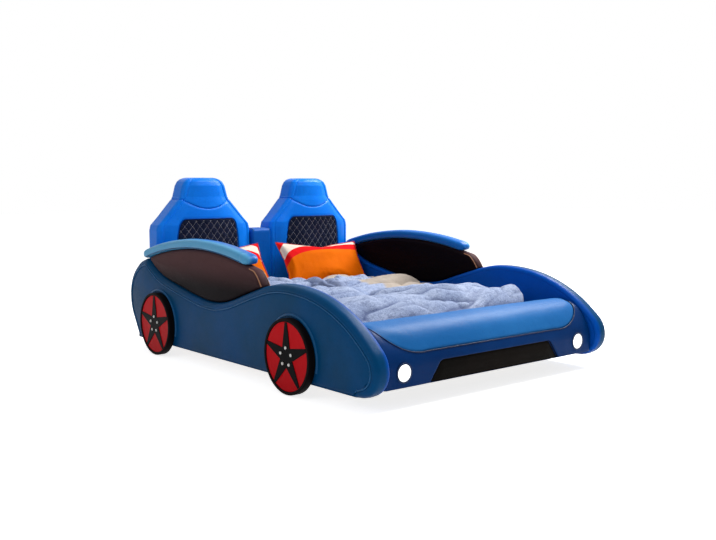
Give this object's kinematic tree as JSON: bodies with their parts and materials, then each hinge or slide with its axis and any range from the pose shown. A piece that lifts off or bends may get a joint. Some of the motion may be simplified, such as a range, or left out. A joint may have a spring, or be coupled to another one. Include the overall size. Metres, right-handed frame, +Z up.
{
  "type": "car bed for children",
  "caption": "Low child's bed shaped like a sports car: padded sides with wheels, windows and roof bows, a rolled bumper with lamps, and a headboard of racing seat backs, with bedding.",
  "frame": {"origin": "centre of the bed's footprint, on the floor", "axes": "+Z up, -Y towards the bumper at the foot of the bed, +X across"},
  "size_m": [1.798, 2.4, 1.067],
  "materials": {
    "blue_leather": "satin",
    "brown_leather": "satin",
    "quilted_black": "satin",
    "tyre_black": "satin",
    "wheel_red": "gloss",
    "spoke_black": "gloss",
    "nut_white": "gloss",
    "plywood": "matte",
    "pine": "matte",
    "zinc_steel": "satin",
    "lamp_white": "gloss",
    "lamp_rim": "gloss",
    "battery_black": "matte",
    "switch_black": "matte",
    "rubber_black": "matte",
    "mattress_cloth": "matte",
    "duvet_cloth": "matte",
    "pillow_orange": "matte"
  },
  "bodies": {
    "bed": {"battery_box": "battery_black", "bumper_core": "plywood", "bumper_cushion": "blue_leather", "bumper_face": "blue_leather", "centre_beam": "pine", "centre_block": "blue_leather", "centre_legs": "pine", "corner_brackets": "zinc_steel", "cross_board": "plywood", "duvet": "duvet_cloth", "grille_insert": "brown_leather", "ledge_screws": "zinc_steel", "left_front_wheel_face": "wheel_red", "left_front_wheel_star": "spoke_black", "left_front_wheel_tyre": "tyre_black", "left_headlamp_cup": "lamp_white", "left_headlamp_led": "lamp_white", "left_headlamp_lens": "lamp_white", "left_headlamp_rim": "lamp_rim", "left_headrest_pad": "blue_leather", "left_ledge": "pine", "left_pillow": "pillow_orange", "left_rear_wheel_face": "wheel_red", "left_rear_wheel_star": "spoke_black", "left_rear_wheel_tyre": "tyre_black", "left_roof_rail": "blue_leather", "left_seat_board": "plywood", "left_seat_pad": "blue_leather", "left_seat_quilt": "quilted_black", "left_side_core": "plywood", "left_side_pad": "blue_leather", "left_window_panel": "brown_leather", "leg_glides": "rubber_black", "mattress": "mattress_cloth", "right_front_wheel_face": "wheel_red", "right_front_wheel_star": "spoke_black", "right_front_wheel_tyre": "tyre_black", "right_headlamp_cup": "lamp_white", "right_headlamp_led": "lamp_white", "right_headlamp_lens": "lamp_white", "right_headlamp_rim": "lamp_rim", "right_headrest_pad": "blue_leather", "right_ledge": "pine", "right_pillow": "pillow_orange", "right_rear_wheel_face": "wheel_red", "right_rear_wheel_star": "spoke_black", "right_rear_wheel_tyre": "tyre_black", "right_roof_rail": "blue_leather", "right_seat_board": "plywood", "right_seat_pad": "blue_leather", "right_seat_quilt": "quilted_black", "right_side_core": "plywood", "right_side_pad": "blue_leather", "right_window_panel": "brown_leather", "side_feet": "tyre_black", "slats": "pine", "switch_housing": "switch_black", "wheel_nuts": "nut_white"},
    "button": {"switch_button": "lamp_white"}
  },
  "joints": [
    {"name": "switch_press", "type": "slide", "parent": "bed", "child": "button", "axis": [-1, 0, 0], "range_m": [0, 0.003], "stiffness_N_per_m": 800, "springref_m": -0.001}
  ]
}
